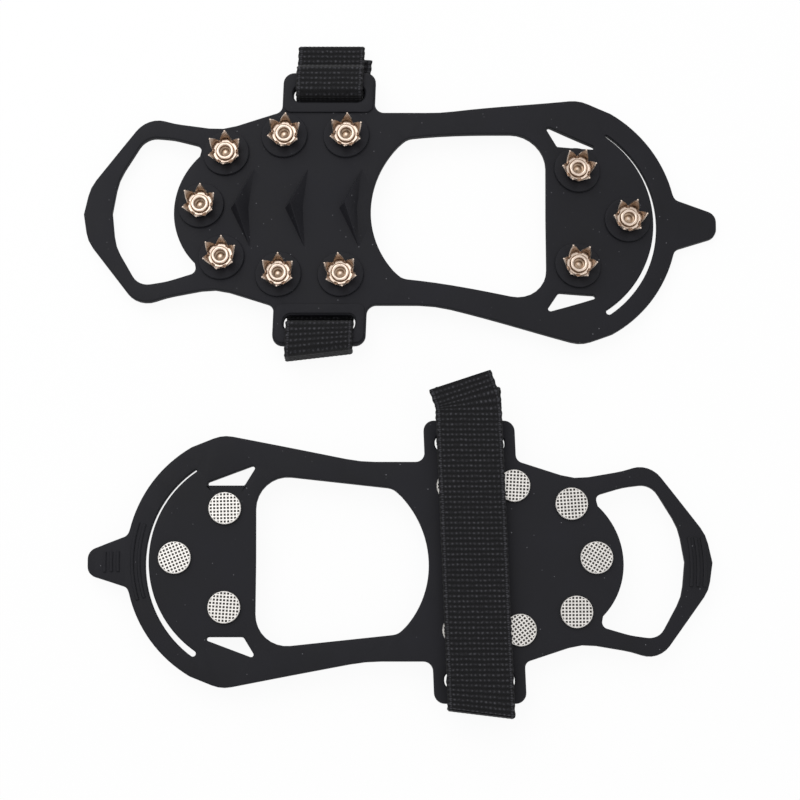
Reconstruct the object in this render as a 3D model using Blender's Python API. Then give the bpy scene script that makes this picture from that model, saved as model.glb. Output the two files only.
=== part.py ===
"""A pair of stretch-on rubber ice cleats with studded forefoot and heel pads, and a hook-and-loop strap each."""
import math
import random

import bmesh
import bpy
from mathutils import Matrix, Vector
from mathutils.geometry import delaunay_2d_cdt

for old in list(bpy.data.objects):
    bpy.data.objects.remove(old, do_unlink=True)

# Driving dimensions, in millimetres and degrees. One cleat is drawn toe at -X, heel at +X, foot face at z 0,
# studs toward +Z, then laid out twice.
MM = 0.001
fit_gap = 0.3

sheet_thick = 2.6
boss_rise = 1.0
tab_rise = 0.6
dart_rise = 5.5

toe_fold_x = -87.0
toe_nose_x = -119.3
toe_hole_x = -108.3
toe_half_wide = 37.3
arm_out_y = 33.9
arm_in_y = 27.8
pad_front_x = -84.8
pad_front_radius = 28.8
neck_half = 30.8
rail_half = 37.5

tab_x = -28.3
tab_long = 34.8
tab_out_y = 53.2
slot_long = 26.6
slot_in_y = 41.6
slot_out_y = 47.6

window_front_x = -10.9
window_front_radius = 36.5
window_back_x = 54.8
window_half_front = 27.5
window_half_back = 33.2

heel_fold_x = 81.0
heel_centre_x = 54.4
heel_radius = 49.8
heel_shoulder_x = 67.5
heel_shoulder_y = 47.8
arc_slot_radius = 41.7
arc_slot_wide = 1.6
pull_tab_x = 119.2
pull_tab_root_half = 9.7
pull_tab_tip_half = 4.4
pull_tab_tip_radius = 4.2

boss_radius = 8.6
inner_row_x = -21.2
outer_row_x = -44.4
row_y = 27.1
stud_offset_y = 1.1
toe_corner_x = -66.0
toe_corner_y = 20.3
toe_mid_x = -74.5
heel_pair_x = 66.5
heel_pair_y = 18.6
heel_mid_x = 85.4
dart_first_x = -63.3
dart_pitch = 20.3
dart_count = 3
dart_half = 15.6
dart_peak = 2.3

shank_radius = 2.6
head_radius = 6.1
head_thick = 0.9
flare_thick = 0.9
crown_radius = 4.9
crown_tip_radius = 6.5
crown_high = 5.0
crown_floor = 0.7
crown_wall = 0.6
spike_count = 6

strap_wide = 25.0
strap_thick = 1.4
loop_out_y = 65.6
fold_slant = 0.12
hem_y = 34.6

stagger = 0.038
heel_bow = 5.0
toe_bow = 0.0001
bow_start_x = 5.0
bow_long = 75.0
pair_spacing = 135.6

triangle_front = -12.5
triangle_back = 10.1
triangle_root = -7.3
triangle_out_y = 36.8
triangle_in_y = 28.4

sides = 12
rivet_hole_radius = shank_radius + 1.5 * fit_gap
flare_radius = shank_radius + 0.9
bore_radius = shank_radius - 0.4
layers = strap_thick + fit_gap
hem_z = -fit_gap - strap_thick / 2
run_z = hem_z - layers
tail_z = run_z - layers
stud_top = sheet_thick + boss_rise + fit_gap
spike_end = stud_top + crown_high
strap_bottom = tail_z - strap_thick / 2


def smooth(value):
    value = min(1.0, max(0.0, value))
    return value * value * (3 - 2 * value)


class Lay:
    """How one cleat lies: its place, facing and stretch, its sideways bow, and the droop of its ends.

    The toe droops from toe_start forward and the heel from heel_start back, by `sag` at either end. The strap's
    own numbers are where it folds back, where its free end starts to turn, where it ends, and its turn."""

    def __init__(self, tag, y, flipped, stretch, bow, sag, toe_start, heel_start, strap):
        self.tag = tag
        self.stretch = stretch
        self.y = y
        self.flipped = flipped
        self.sag = sag
        self.toe_start = toe_start
        self.heel_start = heel_start
        self.bow = bow
        self.fold_y, self.tail_turn_y, self.tail_end, self.tail_turn = strap

    def drop(self, x):
        toe = max(0.0, self.toe_start - x) / (self.toe_start - toe_nose_x)
        heel = max(0.0, x - self.heel_start) / (pull_tab_x - self.heel_start)
        return self.sag * (toe * toe + heel * heel)

    def place(self, x, y, z):
        lean = 1.0 - smooth((x + 10.0) / 60.0)
        bow = self.bow * (heel_bow * smooth((x - bow_start_x) / bow_long) + toe_bow * max(0.0, outer_row_x - x) ** 2)
        px = x * self.stretch + stagger * y * lean
        py = y - bow
        pz = z - self.drop(x)
        if self.flipped:
            return Vector((-px, py + self.y, spike_end - pz))
        return Vector((px, py + self.y, pz - strap_bottom))


def rounded(corners, step=24.0):
    """A closed outline: each corner is x, y and its fillet radius."""
    points = []
    count = len(corners)
    for i in range(count):
        x, y, radius = corners[i]
        here = Vector((x, y))
        if radius <= 0:
            points.append(here)
            continue
        back = (Vector(corners[i - 1][:2]) - here).normalized()
        ahead = (Vector(corners[(i + 1) % count][:2]) - here).normalized()
        half = back.angle(ahead) / 2
        reach = radius / math.tan(half)
        turn = math.pi - 2 * half
        pieces = max(1, round(math.degrees(turn) / step))
        centre = here + (back + ahead).normalized() * radius / math.sin(half)
        start = here + back * reach - centre
        end = here + ahead * reach - centre
        for k in range(pieces + 1):
            share = k / pieces
            spoke = start * math.sin((1 - share) * turn) + end * math.sin(share * turn)
            points.append(centre + spoke / math.sin(turn))
    return points


def arc(cx, radius, first, last, pieces):
    """Points on a circle centred on the X axis, angles in degrees."""
    out = []
    for k in range(pieces + 1):
        angle = math.radians(first + (last - first) * k / pieces)
        out.append(Vector((cx + radius * math.cos(angle), radius * math.sin(angle))))
    return out


def circle(x, y, radius, count):
    turn = 2 * math.pi / count
    return [Vector((x + radius * math.cos(k * turn), y + radius * math.sin(k * turn))) for k in range(count)]


def both_sides(half):
    """Completes an outline given for y >= 0, whose first and last points may lie on y 0."""
    mirrored = [Vector((p.x, -p.y)) for p in reversed(half) if p.y > 1e-6]
    return half + mirrored


def inside(point, loop):
    hit = False
    x, y = point
    for i in range(len(loop)):
        a = loop[i - 1]
        b = loop[i]
        if (a.y > y) != (b.y > y) and x < a.x + (y - a.y) * (b.x - a.x) / (b.y - a.y):
            hit = not hit
    return hit


def near_loop(point, loop, reach):
    for i in range(len(loop)):
        a = loop[i - 1]
        b = loop[i]
        along = b - a
        share = min(1.0, max(0.0, (point - a).dot(along) / max(1e-9, along.length_squared)))
        if (a + along * share - point).length < reach:
            return True
    return False


def new_material(name, colour, roughness, metallic):
    material = bpy.data.materials.new(name)
    material.use_nodes = True
    shader = material.node_tree.nodes["Principled BSDF"]
    shader.inputs["Base Color"].default_value = (*colour, 1.0)
    shader.inputs["Roughness"].default_value = roughness
    shader.inputs["Metallic"].default_value = metallic
    return material


def make(name, bm, origin, look, curved=False):
    """Turns a mesh drawn in world millimetres into an object whose origin is at `origin`."""
    bmesh.ops.translate(bm, verts=bm.verts, vec=-origin)
    bmesh.ops.scale(bm, verts=bm.verts, vec=(MM, MM, MM))
    bmesh.ops.recalc_face_normals(bm, faces=bm.faces)
    if bm.calc_volume(signed=True) < 0:
        bmesh.ops.reverse_faces(bm, faces=bm.faces)
    mesh = bpy.data.meshes.new(name)
    bm.to_mesh(mesh)
    bm.free()
    for face in mesh.polygons:
        face.use_smooth = curved
    mesh.materials.append(new_material(name, *look))
    piece = bpy.data.objects.new(name, mesh)
    piece.location = origin * MM
    bpy.context.scene.collection.objects.link(piece)
    return piece


def plate(lay, name, outline, holes, raised, darts, end_x, end_way, origin):
    """A moulded sheet with holes, raised areas and darts, and half-round ends on the line x = end_x."""
    loops = [outline] + holes + [area for area, rise in raised] + [dart[0] for dart in darts]
    points = []
    edges = []
    for loop in loops:
        base = len(points)
        points += loop
        edges += [(base + i, base + (i + 1) % len(loop)) for i in range(len(loop))]
    peaks = {}
    for loop, peak, rise in darts:
        peaks[len(points)] = rise
        points.append(peak)
    pitch = 15.0
    for gx in range(-8, 9):
        for gy in range(-4, 5):
            spot = Vector((gx * pitch + 2.0, gy * pitch + 1.0))
            if inside(spot, outline) and not any(near_loop(spot, loop, 3.0) for loop in loops):
                if not any(inside(spot, loop) for loop in holes + [dart[0] for dart in darts]):
                    points.append(spot)
    cdt = delaunay_2d_cdt(points, edges, [], 0, 1e-5)
    spots = cdt[0]
    peak_at = {}
    for i, sources in enumerate(cdt[3]):
        for source in sources:
            if source in peaks:
                peak_at[i] = peaks[source]
    kept = []
    for face in cdt[2]:
        middle = sum((spots[i] for i in face), Vector((0.0, 0.0))) / 3
        if inside(middle, outline) and not any(inside(middle, hole) for hole in holes):
            rises = [rise for area, rise in raised if inside(middle, area)]
            kept.append((face, sheet_thick + max(rises + [0.0])))

    bm = bmesh.new()
    made = {}

    def vertex(i, z):
        key = (i, round(z, 4))
        if key not in made:
            high = z + (peak_at.get(i, 0.0) if z > 0 else 0.0)
            made[key] = bm.verts.new(lay.place(spots[i].x, spots[i].y, high))
        return made[key]

    borders = {}
    for face, top in kept:
        bm.faces.new([vertex(i, top) for i in face])
        bm.faces.new([vertex(i, 0.0) for i in reversed(face)])
        for k in range(3):
            pair = (face[k], face[(k + 1) % 3])
            borders.setdefault(tuple(sorted(pair)), []).append(top)
    steps = 4
    radius = sheet_thick / 2
    ends = {}
    for (a, b), tops in borders.items():
        if len(tops) == 2 and tops[0] == tops[1]:
            continue
        low = min(tops) if len(tops) == 2 else 0.0
        high = max(tops)
        at_end = end_x is not None and abs(spots[a].x - end_x) < 1e-4 and abs(spots[b].x - end_x) < 1e-4
        if not at_end or len(tops) == 2:
            bm.faces.new([vertex(a, low), vertex(b, low), vertex(b, high), vertex(a, high)])
            continue
        for i in (a, b):
            if i in ends:
                continue
            row = [vertex(i, 0.0)]
            for k in range(1, steps):
                angle = math.pi * k / steps - math.pi / 2
                x = end_x + end_way * radius * math.cos(angle)
                z = radius + radius * math.sin(angle)
                row.append(bm.verts.new(lay.place(x, spots[i].y, z)))
            row.append(vertex(i, sheet_thick))
            bm.faces.new(row)
            ends[i] = row
        for k in range(steps):
            bm.faces.new([ends[a][k], ends[b][k], ends[b][k + 1], ends[a][k + 1]])
    rubber = ((0.022, 0.022, 0.026), 0.62, 0.0)
    return make(name, bm, origin, rubber)


def studs():
    out = [(inner_row_x, row_y), (outer_row_x, row_y), (toe_corner_x, toe_corner_y), (toe_mid_x, 0.0)]
    out += [(toe_corner_x, -toe_corner_y), (outer_row_x, -row_y), (inner_row_x, -row_y)]
    out += [(heel_pair_x, heel_pair_y), (heel_mid_x, 0.0), (heel_pair_x, -heel_pair_y)]
    return [(x, y + stud_offset_y) for x, y in out]


def frame_piece(lay):
    """The forefoot pad, the rails and the heel pad."""
    cut = toe_fold_x + sheet_thick / 2 + fit_gap
    heel_cut = heel_fold_x - sheet_thick / 2 - fit_gap
    front = pad_front_x + pad_front_radius
    half = arc(front, pad_front_radius, 180, 134, 4)
    tab_front = tab_x - tab_long / 2
    tab_back = tab_x + tab_long / 2
    run = [
        (half[-1].x, half[-1].y, 0),
        (half[-1].x + 0.9, half[-1].y + 4.0, 1.5),
        (cut, arm_in_y, 0),
        (cut, arm_out_y, 0),
        (toe_corner_x - 1.6, neck_half, 22),
        (tab_front, rail_half + 0.4, 3),
        (tab_front, tab_out_y, 4),
        (tab_back, tab_out_y, 4),
        (tab_back, rail_half, 3.5),
        (14.0, rail_half, 60),
        (heel_shoulder_x, heel_shoulder_y, 13),
        (heel_cut, math.sqrt(heel_radius**2 - (heel_cut - heel_centre_x) ** 2), 0),
    ]
    inner = arc_slot_radius - arc_slot_wide / 2
    start = math.degrees(math.acos((heel_cut - heel_centre_x) / inner))
    half += rounded(run)[1:]
    half += arc(heel_centre_x, inner, start, 0, 5)
    outline = both_sides(half)

    mid = window_front_x + window_front_radius
    side = arc(mid, window_front_radius, 180, 138, 4)
    window = [
        (side[-1].x, side[-1].y, 0),
        (side[-1].x + 3.2, window_half_front, 6),
        (window_back_x, window_half_back, 12),
        (window_back_x - 0.2, 0.0, 0),
    ]
    holes = [both_sides(side + rounded(window)[1:])]
    for way in (1, -1):
        corners = [(heel_pair_x + triangle_front, triangle_out_y, 0.9)]
        corners += [(heel_pair_x + triangle_back, triangle_in_y, 0.8), (heel_pair_x + triangle_root, triangle_in_y, 1.2)]
        holes.append([Vector((p.x, way * p.y)) for p in rounded(corners, 50)])
        slot = [(tab_x - slot_long / 2, slot_in_y, 2.6), (tab_x + slot_long / 2, slot_in_y, 2.6)]
        slot += [(tab_x + slot_long / 2, slot_out_y, 2.6), (tab_x - slot_long / 2, slot_out_y, 2.6)]
        holes.append([Vector((p.x, way * p.y)) for p in rounded(slot, 30)])
    raised = []
    for x, y in studs():
        holes.append(circle(x, y, rivet_hole_radius, sides))
        raised.append((circle(x, y, boss_radius, sides + 4), boss_rise))
    rim = 0.8
    for way in (1, -1):
        pad = [(tab_front + rim, rail_half - 0.1, 2.5), (tab_back - rim, rail_half - 0.1, 2.5)]
        pad += [(tab_back - rim, tab_out_y - rim, 3.2), (tab_front + rim, tab_out_y - rim, 3.2)]
        raised.append(([Vector((p.x, way * p.y)) for p in rounded(pad, 30)], tab_rise))
    darts = []
    for k in range(dart_count):
        x = dart_first_x + k * dart_pitch
        loop = [Vector((x, 0.0)), Vector((x + 8.0, -dart_half)), Vector((x + 6.6, 0.0)), Vector((x + 8.0, dart_half))]
        darts.append((loop, Vector((x + dart_peak, 0.0)), dart_rise))
    origin = lay.place(tab_x, 0.0, 0.0)
    return plate(lay, f"cleat_{lay.tag}_frame", outline, holes, raised, darts, None, 0, origin)


def toe_piece(lay):
    """The stretch loop that goes over the toe of the boot, folding on its two arms."""
    half = [
        (toe_nose_x, 0.0, 0),
        (toe_nose_x + 2.0, 10.5, 14),
        (toe_fold_x - 9.5, toe_half_wide, 10),
        (toe_fold_x, arm_out_y, 0),
        (toe_fold_x, arm_in_y, 0),
        (toe_fold_x - 9.8, arm_in_y + 1.5, 7),
        (toe_hole_x + 1.8, 13.0, 20),
        (toe_hole_x, 0.0, 0),
    ]
    outline = both_sides(rounded(half))
    origin = lay.place(toe_fold_x, 0.0, sheet_thick / 2)
    return plate(lay, f"cleat_{lay.tag}_toe_loop", outline, [], [], [], toe_fold_x, 1, origin)


def heel_piece(lay):
    """The rim behind the arc slot with its pull tab, folding up behind the heel of the boot."""
    reach = heel_fold_x - heel_centre_x
    outer = math.degrees(math.acos(reach / heel_radius))
    rim_inside = arc_slot_radius + arc_slot_wide / 2
    inner = math.degrees(math.acos(reach / rim_inside))
    root = math.degrees(math.asin((pull_tab_root_half + 2.1) / heel_radius))
    half = arc(heel_centre_x, rim_inside, 0, inner, 5)
    half += arc(heel_centre_x, heel_radius, outer, root, 5)
    root_x = heel_centre_x + heel_radius * math.cos(math.radians(root))
    tab = [
        (half[-1].x, half[-1].y, 0),
        (root_x + 0.8, pull_tab_root_half, 3),
        (pull_tab_x, pull_tab_tip_half, pull_tab_tip_radius),
        (pull_tab_x, 0.0, 0),
    ]
    outline = both_sides(half + rounded(tab)[1:])
    origin = lay.place(heel_fold_x, 0.0, sheet_thick / 2)
    return plate(lay, f"cleat_{lay.tag}_heel_band", outline, [], [], [], heel_fold_x, -1, origin)


def stud_frame(lay, x, y):
    """Where a stud stands, and the turn that keeps it square to the sagging sheet."""
    place = lay.place(x, y, 0.0)
    slope = (lay.drop(x + 1.0) - lay.drop(x - 1.0)) / 2.0
    if lay.flipped:
        return place, Matrix.Rotation(math.pi + math.atan(slope), 3, "Y")
    return place, Matrix.Rotation(math.atan(slope), 3, "Y")


def crown_piece(lay, number, x, y, turn):
    """A star washer: a ring with six spikes turned up and outward."""
    place, facing = stud_frame(lay, x, y)
    bm = bmesh.new()
    columns = []
    for k in range(spike_count * 2):
        angle = math.radians(turn + k * 180.0 / spike_count)
        tip = k % 2 == 0
        rim = crown_tip_radius if tip else crown_radius + 0.2
        high = crown_high if tip else crown_floor + 0.5
        bore = shank_radius + fit_gap + 0.1
        profile = [(bore, 0.0), (crown_radius - 0.3, 0.0), (rim, high), (rim - crown_wall, high)]
        profile += [(crown_radius - 1.1, crown_floor), (bore, crown_floor)]
        ring = []
        for radius, z in profile:
            spot = Vector((radius * math.cos(angle), radius * math.sin(angle), stud_top + z))
            ring.append(bm.verts.new(place + facing @ spot))
        columns.append(ring)
    for k in range(len(columns)):
        one = columns[k - 1]
        two = columns[k]
        for j in range(len(one)):
            bm.faces.new([one[j - 1], two[j - 1], two[j], one[j]])
    nickel = ((0.62, 0.58, 0.54), 0.25, 1.0)
    return make(f"cleat_{lay.tag}_crown_{number}", bm, place, nickel, True)


def rivet_piece(lay, number, x, y):
    """A rivet: flat head on the foot face, shank through the sheet and a rolled end inside the crown."""
    place, facing = stud_frame(lay, x, y)
    seat = stud_top + crown_floor + fit_gap
    top = seat + flare_thick
    profile = [
        (head_radius, -fit_gap - head_thick),
        (head_radius, -fit_gap),
        (shank_radius, -fit_gap),
        (shank_radius, seat),
        (flare_radius, seat),
        (flare_radius, seat + flare_thick / 2),
        (flare_radius - 0.6, top),
        (bore_radius + 0.1, top - 0.3),
        (bore_radius, top - 2.0),
    ]
    bm = bmesh.new()
    rings = []
    for radius, z in profile:
        ring = [Vector((p.x, p.y, z)) for p in circle(0.0, 0.0, radius, sides)]
        rings.append([bm.verts.new(place + facing @ spot) for spot in ring])
    for k in range(1, len(rings)):
        for j in range(sides):
            bm.faces.new([rings[k - 1][j - 1], rings[k - 1][j], rings[k][j], rings[k][j - 1]])
    bm.faces.new(rings[0])
    bm.faces.new(rings[-1])
    steel = ((0.6, 0.6, 0.6), 0.35, 1.0)
    return make(f"cleat_{lay.tag}_rivet_{number}", bm, place, steel, True)


def slanted(lay, x, y):
    """The strap folds over its second bar on a slant."""
    start = -(slot_in_y + slot_out_y) / 2
    share = min(1.0, max(0.0, (start - y) / (start - lay.fold_y)))
    return y + fold_slant * (x - tab_x) * share


def ribbon(lay, name, stations, origin, round_start):
    """A flat band of webbing: each station is a centre x, y, z, its heading in the sheet and its pitch."""
    bm = bmesh.new()
    half = strap_wide / 2
    thick = strap_thick / 2
    rows = []
    for x, y, z, heading, pitch, stretch in stations:
        corners = []
        for side, face in ((-1, -1), (1, -1), (1, 1), (-1, 1)):
            across = Vector((math.cos(heading), math.sin(heading))) * side * half
            ny = -math.sin(pitch) * face * thick * stretch
            nz = math.cos(pitch) * face * thick * stretch
            px = x + across.x
            py = slanted(lay, px, y + across.y + ny)
            corners.append(bm.verts.new(lay.place(px, py, z + nz)))
        rows.append(corners)
    for k in range(1, len(rows)):
        for j in range(4):
            bm.faces.new([rows[k - 1][j - 1], rows[k - 1][j], rows[k][j], rows[k][j - 1]])
    bm.faces.new(rows[-1])
    if not round_start:
        bm.faces.new(rows[0])
    else:
        x, y, z = stations[0][:3]
        steps = 4
        fans = []
        for side, low, high in ((-1, rows[0][0], rows[0][3]), (1, rows[0][1], rows[0][2])):
            fan = [low]
            for k in range(1, steps):
                angle = math.pi * k / steps - math.pi / 2
                px = x + side * half
                py = slanted(lay, px, y - thick * math.cos(angle))
                fan.append(bm.verts.new(lay.place(px, py, z + thick * math.sin(angle))))
            fan.append(high)
            bm.faces.new(fan)
            fans.append(fan)
        for k in range(steps):
            bm.faces.new([fans[0][k], fans[1][k], fans[1][k + 1], fans[0][k + 1]])
    webbing = ((0.014, 0.014, 0.015), 0.9, 0.0)
    return make(name, bm, origin, webbing)


def strap_piece(lay):
    """The webbing from its sewn hem, round the first bar, under the foot pad and over the second bar."""
    over = sheet_thick + tab_rise + fit_gap + strap_thick / 2
    mid_slot = (slot_in_y + slot_out_y) / 2 - 0.1
    bend = 1.2
    turn = 0.49 * layers
    corners = [
        (hem_y, hem_z, 0),
        (mid_slot, hem_z, bend),
        (mid_slot, over, bend),
        (tab_out_y + 1.3, over, bend),
        (tab_out_y + 3.9, hem_z, bend),
        (loop_out_y - strap_thick / 2, hem_z, turn),
        (loop_out_y - strap_thick / 2, run_z, turn),
        (-mid_slot, run_z, bend),
        (-mid_slot, over, bend),
        (lay.fold_y, over, bend + 0.3),
        (lay.fold_y, tail_z + strap_thick / 2 + fit_gap, 0),
    ]
    path = []
    for i in range(len(corners)):
        y, z, radius = corners[i]
        here = Vector((y, z))
        if radius == 0:
            path.append(here)
            continue
        back = (Vector(corners[i - 1][:2]) - here).normalized()
        ahead = (Vector(corners[i + 1][:2]) - here).normalized()
        half = back.angle(ahead) / 2
        reach = radius / math.tan(half)
        sweep = math.pi - 2 * half
        pieces = max(1, round(math.degrees(sweep) / 30))
        centre = here + (back + ahead).normalized() * radius / math.sin(half)
        start = here + back * reach - centre
        end = here + ahead * reach - centre
        for k in range(pieces + 1):
            share = k / pieces
            spoke = start * math.sin((1 - share) * sweep) + end * math.sin(share * sweep)
            path.append(centre + spoke / math.sin(sweep))
    stations = []
    for i, spot in enumerate(path):
        before = (spot - path[i - 1]).normalized() if i else (path[1] - spot).normalized()
        after = (path[i + 1] - spot).normalized() if i + 1 < len(path) else before
        along = (before + after).normalized()
        stretch = 1.0 / max(0.5, along.dot(after))
        stations.append((tab_x, spot.x, spot.y, 0.0, math.atan2(along.y, along.x), stretch))
    origin = lay.place(tab_x, 0.0, run_z)
    return ribbon(lay, f"cleat_{lay.tag}_strap", stations, origin, False)


def tail_piece(lay):
    """The free end of the strap, pressed flat over the run beneath; it peels away about its fold."""
    stations = []
    steps = 4
    for k in range(steps + 1):
        y = lay.fold_y + (lay.tail_turn_y - lay.fold_y) * k / steps
        stations.append((tab_x, y, tail_z, 0.0, 0.0, 1.0))
    x = tab_x
    stride = (lay.tail_end - lay.tail_turn_y) / steps
    for k in range(1, steps + 1):
        heading = math.radians(lay.tail_turn) * min(1.0, 2.0 * k / steps)
        x -= math.sin(heading) * stride
        y += math.cos(heading) * stride
        stations.append((x, y, tail_z, heading, 0.0, 1.0))
    origin = lay.place(tab_x, lay.fold_y, tail_z)
    return ribbon(lay, f"cleat_{lay.tag}_strap_tail", stations, origin, True)


def cleat(lay, seed):
    turns = random.Random(seed)
    frame_piece(lay)
    toe_piece(lay)
    heel_piece(lay)
    strap_piece(lay)
    tail_piece(lay)
    for number, (x, y) in enumerate(studs(), 1):
        forefoot = x < 0
        turn = (90.0 if forefoot else 60.0) + turns.uniform(-9.0, 9.0)
        crown_piece(lay, number, x, y, turn)
        rivet_piece(lay, number, x, y)


strap_a = (-55.8, 0.0, 62.0, -3.4)
strap_b = (-56.8, 56.0, 67.8, -18.0)
cleat(Lay("a", pair_spacing / 2, False, 1.015, 1.0, -strap_bottom, outer_row_x - 1.9, bow_start_x, strap_a), 4)
cleat(Lay("b", -pair_spacing / 2, True, 0.982, 0.0, -4.2, toe_mid_x - 5.5, heel_mid_x + 5.0, strap_b), 9)

# The origin of the whole is the middle of its footprint.
bpy.context.view_layer.update()
reach = [piece.matrix_world @ v.co for piece in bpy.data.objects for v in piece.data.vertices]
middle = Vector((
    (max(p.x for p in reach) + min(p.x for p in reach)) / 2,
    (max(p.y for p in reach) + min(p.y for p in reach)) / 2,
    min(p.z for p in reach),
))
for piece in bpy.data.objects:
    piece.location = piece.location - middle
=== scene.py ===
import math
import random

import bmesh
import bpy
from mathutils import Matrix, Vector


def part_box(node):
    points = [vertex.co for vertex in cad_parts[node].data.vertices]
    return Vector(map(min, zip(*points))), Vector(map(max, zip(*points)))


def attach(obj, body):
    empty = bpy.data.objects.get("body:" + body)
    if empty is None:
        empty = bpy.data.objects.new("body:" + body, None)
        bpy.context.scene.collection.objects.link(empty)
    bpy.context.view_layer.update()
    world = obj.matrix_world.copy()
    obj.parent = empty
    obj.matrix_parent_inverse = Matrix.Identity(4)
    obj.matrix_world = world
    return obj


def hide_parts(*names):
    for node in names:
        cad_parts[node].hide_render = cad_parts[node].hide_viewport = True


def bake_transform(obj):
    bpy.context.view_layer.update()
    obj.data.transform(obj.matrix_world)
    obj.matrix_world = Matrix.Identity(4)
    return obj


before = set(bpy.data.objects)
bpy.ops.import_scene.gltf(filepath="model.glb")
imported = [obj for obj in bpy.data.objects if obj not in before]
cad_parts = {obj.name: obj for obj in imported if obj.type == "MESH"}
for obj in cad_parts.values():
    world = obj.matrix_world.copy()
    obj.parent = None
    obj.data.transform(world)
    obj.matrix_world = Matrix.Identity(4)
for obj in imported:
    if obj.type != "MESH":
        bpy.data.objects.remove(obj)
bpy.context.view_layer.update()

mm = 0.001

# How the two cleats lie. Both are drawn in one flat frame in millimetres: toe at -x, heel at +x,
# foot face at z 0, studs toward +z. "place" then lays them out, stretched and sagging a little.
layout = {"lean": 0.038, "leanFrom": -10.0, "leanLong": 60.0, "heelBow": 5.0, "bowFrom": 5.0, "bowLong": 75.0,
          "toeBow": 0.0001, "outerRowX": -44.4, "spikeEnd": 8.9, "underStrap": 5.1, "tabX": -28.3, "noseX": -119.3,
          "pullEndX": 119.2, "toeFoldX": -87.0, "heelFoldX": 81.0, "toeFoldHalf": 4.0, "heelFoldHalf": 3.5}
cleats = {
    "a": {"y": 67.8, "flipped": False, "stretch": 1.015, "bow": 1.0, "sag": 5.1, "toeStart": -46.3,
          "heelStart": 5.0, "foldY": -55.8, "turnY": 0.0, "tailEnd": 62.0, "tailTurn": -3.4, "seed": 4},
    "b": {"y": -67.8, "flipped": True, "stretch": 0.982, "bow": 0.0, "sag": -4.2, "toeStart": -80.0,
          "heelStart": 90.4, "foldY": -56.8, "turnY": 56.0, "tailEnd": 67.8, "tailTurn": -18.0, "seed": 9},
}
studSpots = [(-21.2, 28.2), (-44.4, 28.2), (-66.0, 21.4), (-74.5, 1.1), (-66.0, -19.2), (-44.4, -26.0),
             (-21.2, -26.0), (66.5, 19.7), (85.4, 1.1), (66.5, -17.5)]


def easeIn(t):
    t = min(1.0, max(0.0, t))
    return t * t * (3 - 2 * t)


def sagAt(cleat, x):
    toe = max(0.0, cleat["toeStart"] - x) / (cleat["toeStart"] - layout["noseX"])
    heel = max(0.0, x - cleat["heelStart"]) / (layout["pullEndX"] - cleat["heelStart"])
    return cleat["sag"] * (toe * toe + heel * heel)


def place(cleat, p):
    s = layout
    lean = 1.0 - easeIn((p[0] - s["leanFrom"]) / s["leanLong"])
    heelBow = s["heelBow"] * easeIn((p[0] - s["bowFrom"]) / s["bowLong"])
    toeBow = s["toeBow"] * max(0.0, s["outerRowX"] - p[0]) ** 2
    x = p[0] * cleat["stretch"] + s["lean"] * p[1] * lean
    y = p[1] - cleat["bow"] * (heelBow + toeBow) + cleat["y"]
    z = p[2] - sagAt(cleat, p[0])
    if cleat["flipped"]:
        spot = Vector((-x, y, s["spikeEnd"] - z))
    else:
        spot = Vector((x, y, z + s["underStrap"]))
    return spot * mm + shift


# The rivet at the middle of cleat b's forefoot stands upright, so its box gives the offset of the whole frame
shift = Vector((0.0, 0.0, 0.0))
low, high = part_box("cleat_b_rivet_4")
centre = (Vector(low) + Vector(high)) / 2
shift = centre - place(cleats["b"], studSpots[3] + (0.0,))
shift.z = 0.0


def hexColour(code):
    def linear(c):
        return c / 12.92 if c <= 0.04045 else ((c + 0.055) / 1.055) ** 2.4
    return tuple(linear(int(code[i:i + 2], 16) / 255) for i in (1, 3, 5)) + (1.0,)


def newMaterial(name, **sockets):
    material = bpy.data.materials.new(name)
    material.use_nodes = True
    shader = material.node_tree.nodes["Principled BSDF"]
    for key, value in sockets.items():
        shader.inputs[key].default_value = value
    return material, material.node_tree, shader


def addNode(tree, kind, settings=None, **links):
    # a link is a node, a socket or a plain value; "stops" among the settings fill a colour ramp
    node = tree.nodes.new(kind)
    settings = dict(settings or {})
    stops = settings.pop("stops", [])
    if stops:
        ramp = node.color_ramp.elements
        ramp.remove(ramp[1])
        ramp[0].position, ramp[0].color = stops[0]
        for spot, colour in stops[1:]:
            ramp.new(spot).color = colour
    for key, value in settings.items():
        setattr(node, key, value)
    for key, value in links.items():
        numbered = key.startswith("in") and key[2:].isdigit()
        socket = node.inputs[int(key[2:])] if numbered else node.inputs[key.replace("_", " ")]
        if isinstance(value, bpy.types.Node):
            value = value.outputs[0]
        if isinstance(value, bpy.types.NodeSocket):
            tree.links.new(value, socket)
        else:
            socket.default_value = value
    return node


rubberLook = {"base": "#121216", "pale": "#1a1a1f", "dust": "#a2a2a8", "cloud": 26.0, "grain": 0.35,
              "bump": 0.35, "bumpHigh": 0.00006, "dustSpacing": 2.6, "dustShare": 0.5, "roughness": 0.6,
              "specular": 0.17}


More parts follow.
